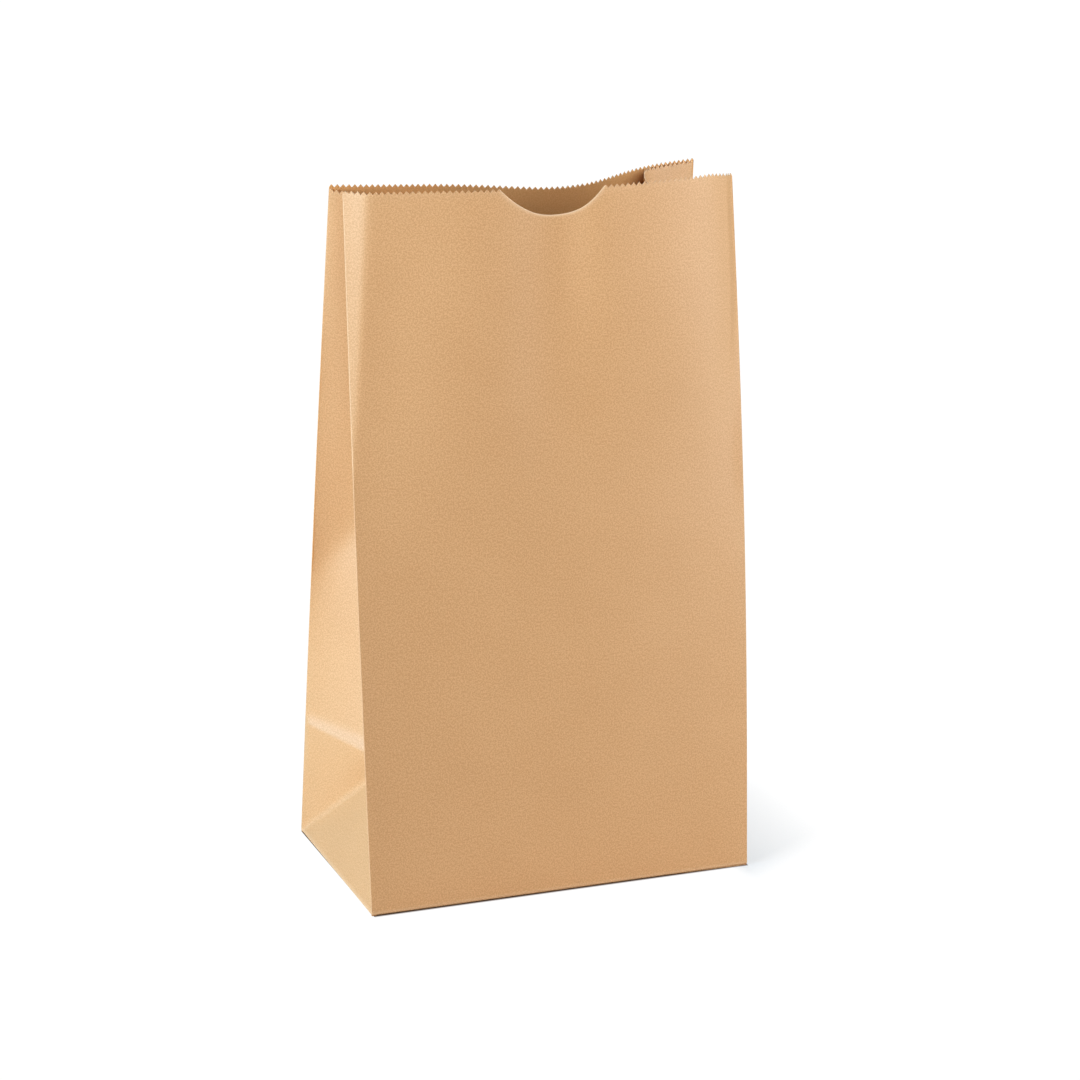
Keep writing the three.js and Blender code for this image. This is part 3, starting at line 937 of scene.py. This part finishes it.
def floor_white(look):
    """White floor that keeps the bag's shadow close by and runs into plain white around it, with a painted
    contact shadow along the bag's foot.
    """
    material, nodes, links, surface = new_material("floor_white")
    surface.inputs["Roughness"].default_value = 1.0
    surface.inputs["Specular IOR Level"].default_value = 0.0
    path = nodes.new("ShaderNodeLightPath")
    seen = nodes.new("ShaderNodeMix")
    seen.data_type = "RGBA"
    links.new(path.outputs["Is Camera Ray"], seen.inputs["Factor"])
    colours = [socket for socket in seen.inputs if socket.type == "RGBA"]
    colours[0].default_value = (*look.floor, 1.0)
    colours[1].default_value = (*look.shade, 1.0)
    mixed = next(socket for socket in seen.outputs if socket.type == "RGBA")
    links.new(mixed, surface.inputs["Base Color"])

    spot = nodes.new("ShaderNodeTexCoord")
    split = nodes.new("ShaderNodeSeparateXYZ")
    links.new(spot.outputs["Object"], split.inputs["Vector"])
    x, y = split.outputs["X"], split.outputs["Y"]

    def maths(operation, first, second=None, clamp=False):
        node = nodes.new("ShaderNodeMath")
        node.operation = operation
        node.use_clamp = clamp
        for socket, value in zip(node.inputs, (first, second)):
            if isinstance(value, float):
                socket.default_value = value
            elif value is not None:
                links.new(value, socket)
        return node.outputs["Value"]

    def ramp(value, zero, full):
        """0 at one place, 1 at another and straight between."""
        return maths("MULTIPLY", maths("SUBTRACT", value, zero), 1 / (full - zero), clamp=True)

    def beyond(value, reach):
        """How far a place lies past a distance from the middle."""
        return maths("MAXIMUM", maths("SUBTRACT", maths("ABSOLUTE", value), reach), 0.0)

    # The shadow lies to the right of the bag, ends in a slanting line in front and goes on behind.
    slant = maths("SUBTRACT", y, maths("MULTIPLY", maths("SUBTRACT", x, SLANT_FROM), SLANT_RISE))
    right = maths("MULTIPLY", ramp(x, *SHADE_RIGHT_OUTER), ramp(slant, *SHADE_SLANT))
    ends = maths("MULTIPLY", ramp(x, *SHADE_RIGHT_INNER), ramp(y, *SHADE_RIGHT_REAR))
    right = maths("MULTIPLY", right, ends)
    behind = maths("MULTIPLY", ramp(x, *SHADE_BEHIND_LEFT), ramp(x, *SHADE_BEHIND_RIGHT))
    ends = maths("MULTIPLY", ramp(y, *SHADE_BEHIND_NEAR), ramp(y, *SHADE_BEHIND_FAR))
    behind = maths("MULTIPLY", behind, ends)
    fall = maths("MULTIPLY", maths("MAXIMUM", right, behind), SHADE_SHARE)
    fac = maths("MULTIPLY", maths("SUBTRACT", 1.0, fall), path.outputs["Is Camera Ray"])
    glow = nodes.new("ShaderNodeEmission")
    glow.inputs["Strength"].default_value = FLOOR_GLOW
    lit = nodes.new("ShaderNodeMixShader")
    links.new(fac, lit.inputs["Fac"])
    links.new(surface.outputs["BSDF"], lit.inputs[1])
    links.new(glow.outputs["Emission"], lit.inputs[2])

    # A thin painted contact shadow where the bag stands on the floor.
    wide, deep = beyond(x, FOOT_HALF_WIDTH), beyond(y, FOOT_HALF_DEPTH)
    wide_square = maths("MULTIPLY", wide, maths("MULTIPLY", wide, FOOT_LINE_NARROWING))
    square = maths("ADD", wide_square, maths("MULTIPLY", deep, deep))
    foot_shadow = ramp(maths("SQRT", square), *FOOT_LINE)
    dark = nodes.new("ShaderNodeBsdfDiffuse")
    dark.inputs["Color"].default_value = (*FOOT_SHADOW_COLOUR, 1.0)
    whole = nodes.new("ShaderNodeMixShader")
    links.new(foot_shadow, whole.inputs["Fac"])
    links.new(lit.outputs["Shader"], whole.inputs[1])
    links.new(dark.outputs["BSDF"], whole.inputs[2])
    links.new(whole.outputs["Shader"], nodes["Material Output"].inputs["Surface"])
    return material


# Operators


class PAPERBAG_OT_fold_bag(bpy.types.Operator):
    """Cut the sheet, fold it into the bag and give it its paper"""

    bl_idname = "paper_bag.fold_bag"
    bl_label = "Fold the bag"

    def execute(self, context):
        sizes = context.scene.bag_sizes
        look = context.scene.kraft_look
        bag = fold_bag(sizes)
        bag.data.materials.clear()
        bag.data.materials.append(kraft_paper(look))
        bag.data.materials.append(cut_edge(look))
        thicken(bag, sizes.paper)
        if len(bag.data.polygons) < 1000:
            raise RuntimeError("the folded bag has too few faces")
        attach(bag, "root")
        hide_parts("paper_bag")
        return {"FINISHED"}


LAMPS_AIM = (0.0, 0.0, 0.13)
FLOOR_SIZE = 12.0
FLOOR_LEVEL = -0.0001

# Soft boxes: name, turn and height in degrees, distance and size in metres, power in watts, colour
LAMPS = (
    ("left_box", -78, 10, 1.5, 1.0, 17.4, (1.0, 0.985, 0.965)),
    ("side_box", -100, 10, 1.5, 1.0, 20.2, (0.48, 0.785, 1.0)),
    ("front_box", -30, 12, 1.5, 1.0, 2.4, (1.0, 0.83, 0.67)),
    ("right_box", 57, 10, 0.6, 0.5, 2.18, (0.91, 0.97, 1.0)),
    ("near_box", 30, 55, 0.45, 0.3, 0.70, (0.86, 0.95, 1.0)),
    ("high_box", 10, 62, 1.05, 0.8, 1.36, (1.0, 0.56, 0.22)),
    ("back_box", 165, 20, 1.5, 1.0, 6.0, (1.0, 0.97, 0.93)),
)


def soft_box(name, turn, height, away, size, power, colour):
    """A square soft box round the bag: turn in degrees from the front, and height above level."""
    turn, height = math.radians(turn), math.radians(height)
    level = math.cos(height)
    towards = Vector((math.sin(turn) * level, -math.cos(turn) * level, math.sin(height)))
    bpy.ops.object.select_all(action="DESELECT")
    bpy.ops.object.light_add(type="AREA", location=Vector(LAMPS_AIM) + away * towards)
    lamp = bpy.context.active_object
    lamp.name = name
    lamp.data.shape = "SQUARE"
    lamp.data.size = size
    lamp.data.energy = power
    lamp.data.color = colour
    lamp.rotation_euler = towards.to_track_quat("Z", "Y").to_euler()
    return lamp


class PAPERBAG_OT_set_stage(bpy.types.Operator):
    """Lay the white floor, light the bag softly and set the camera"""

    bl_idname = "paper_bag.set_stage"
    bl_label = "Set the stage"

    def execute(self, context):
        scene = context.scene
        look = scene.stage_look
        scene.view_settings.view_transform = "Standard"

        bpy.ops.object.select_all(action="DESELECT")
        bpy.ops.mesh.primitive_plane_add(size=FLOOR_SIZE, location=(0, 0, FLOOR_LEVEL))
        floor = context.active_object
        floor.name = "floor"
        floor.data.materials.append(floor_white(look))

        world = bpy.data.worlds.new("studio")
        scene.world = world
        world.use_nodes = True
        nodes = world.node_tree.nodes
        links = world.node_tree.links
        ambient = nodes["Background"]
        ambient.inputs["Color"].default_value = (1.0, 0.96, 0.89, 1.0)
        ambient.inputs["Strength"].default_value = 0.05
        white = nodes.new("ShaderNodeBackground")
        white.inputs["Color"].default_value = (1.0, 1.0, 1.0, 1.0)
        white.inputs["Strength"].default_value = 1.0
        path = nodes.new("ShaderNodeLightPath")
        mix = nodes.new("ShaderNodeMixShader")
        links.new(path.outputs["Is Camera Ray"], mix.inputs["Fac"])
        links.new(ambient.outputs["Background"], mix.inputs[1])
        links.new(white.outputs["Background"], mix.inputs[2])
        links.new(mix.outputs["Shader"], nodes["World Output"].inputs["Surface"])

        for lamp in LAMPS:
            soft_box(*lamp)

        a, e, r = look.azimuth, look.elevation, look.roll
        back = Vector((math.sin(a) * math.cos(e), -math.cos(a) * math.cos(e), math.sin(e)))
        right = Vector((math.cos(a), math.sin(a), 0.0))
        up = back.cross(right)
        axis_x = math.cos(r) * right + math.sin(r) * up
        axis_y = -math.sin(r) * right + math.cos(r) * up
        turn = Matrix((axis_x, axis_y, back)).transposed().to_4x4()
        bpy.ops.object.select_all(action="DESELECT")
        bpy.ops.object.camera_add(location=look.camera_at)
        camera = context.active_object
        camera.name = "camera"
        camera.matrix_world = Matrix.Translation(look.camera_at) @ turn
        camera.data.sensor_width = 36.0
        camera.data.lens = look.lens
        camera.data.clip_end = 50.0
        scene.camera = camera
        return {"FINISHED"}


class PAPERBAG_PT_sidebar(bpy.types.Panel):
    """The steps and settings of the paper bag"""

    bl_idname = "PAPERBAG_PT_sidebar"
    bl_label = "Paper lunch bag"
    bl_space_type = "VIEW_3D"
    bl_region_type = "UI"
    bl_category = "Paper bag"

    def draw(self, context):
        layout = self.layout
        for group in (context.scene.bag_sizes, context.scene.kraft_look, context.scene.stage_look):
            box = layout.box()
            for name in group.__annotations__:
                box.prop(group, name)
        for step in (PAPERBAG_OT_fold_bag, PAPERBAG_OT_set_stage):
            layout.operator(step.bl_idname)


CLASSES = (
    BagSizes,
    KraftLook,
    StageLook,
    PAPERBAG_OT_fold_bag,
    PAPERBAG_OT_set_stage,
    PAPERBAG_PT_sidebar,
)


def register():
    for cls in CLASSES:
        bpy.utils.register_class(cls)
    bpy.types.Scene.bag_sizes = bpy.props.PointerProperty(type=BagSizes)
    bpy.types.Scene.kraft_look = bpy.props.PointerProperty(type=KraftLook)
    bpy.types.Scene.stage_look = bpy.props.PointerProperty(type=StageLook)


def unregister():
    del bpy.types.Scene.stage_look
    del bpy.types.Scene.kraft_look
    del bpy.types.Scene.bag_sizes
    for cls in reversed(CLASSES):
        bpy.utils.unregister_class(cls)


def main():
    register()
    bpy.ops.paper_bag.fold_bag()
    bpy.ops.paper_bag.set_stage()


if __name__ == "__main__":
    main()
